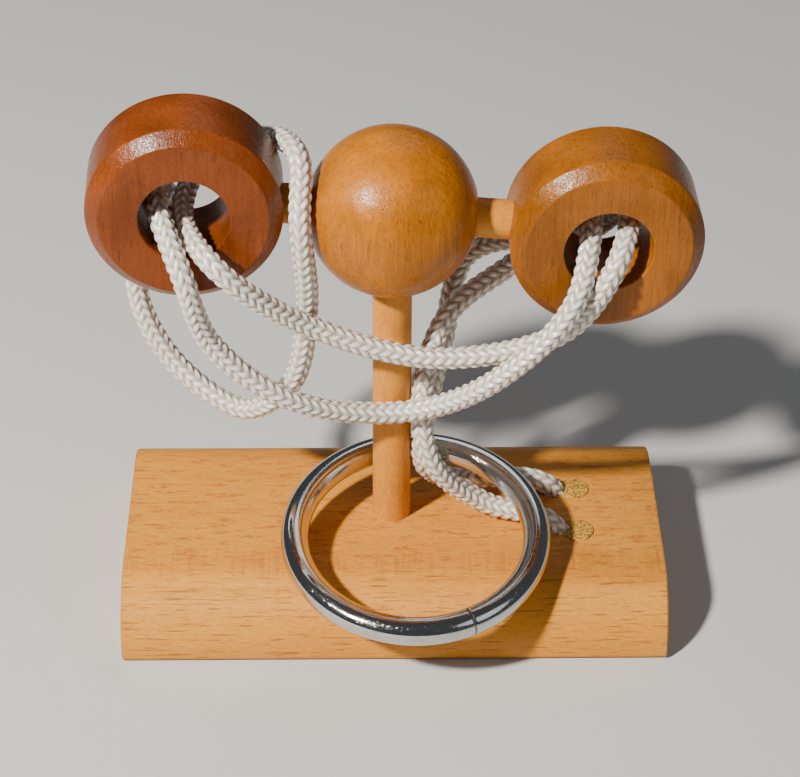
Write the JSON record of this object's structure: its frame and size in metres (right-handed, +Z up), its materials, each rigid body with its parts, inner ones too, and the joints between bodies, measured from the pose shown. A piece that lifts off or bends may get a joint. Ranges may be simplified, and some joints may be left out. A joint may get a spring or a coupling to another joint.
{
  "type": "ring and cord disentanglement puzzle",
  "caption": "Wooden disentanglement puzzle: ball on a post, ringed crossbar, laced cord pegged to the base, and a loose steel ring to free.",
  "frame": {"origin": "middle of the base's flat underside, on the surface it stands on", "axes": "+X along the base and crossbar to the right, +Y to the back, +Z up along the post"},
  "size_m": [0.1219, 0.0758, 0.1136],
  "materials": {
    "pale_wood": "satin",
    "orange_wood": "satin",
    "ring_steel": "polished",
    "white_cord": "braided",
    "bamboo": "cut end grain"
  },
  "bodies": {
    "stand": {"base": "pale_wood", "post": "pale_wood", "ball": "orange_wood", "left_dowel": "pale_wood", "right_dowel": "pale_wood", "left_wooden_ring": "orange_wood", "right_wooden_ring": "orange_wood", "cord": "white_cord", "front_peg": "bamboo", "back_peg": "bamboo"},
    "loose_ring": {"metal_ring": "ring_steel"}
  },
  "joints": [
    {"name": "metal_ring_lift", "type": "slide", "parent": "stand", "child": "loose_ring", "axis": [0, 0, 1], "range_m": [0, 0.015]}
  ]
}
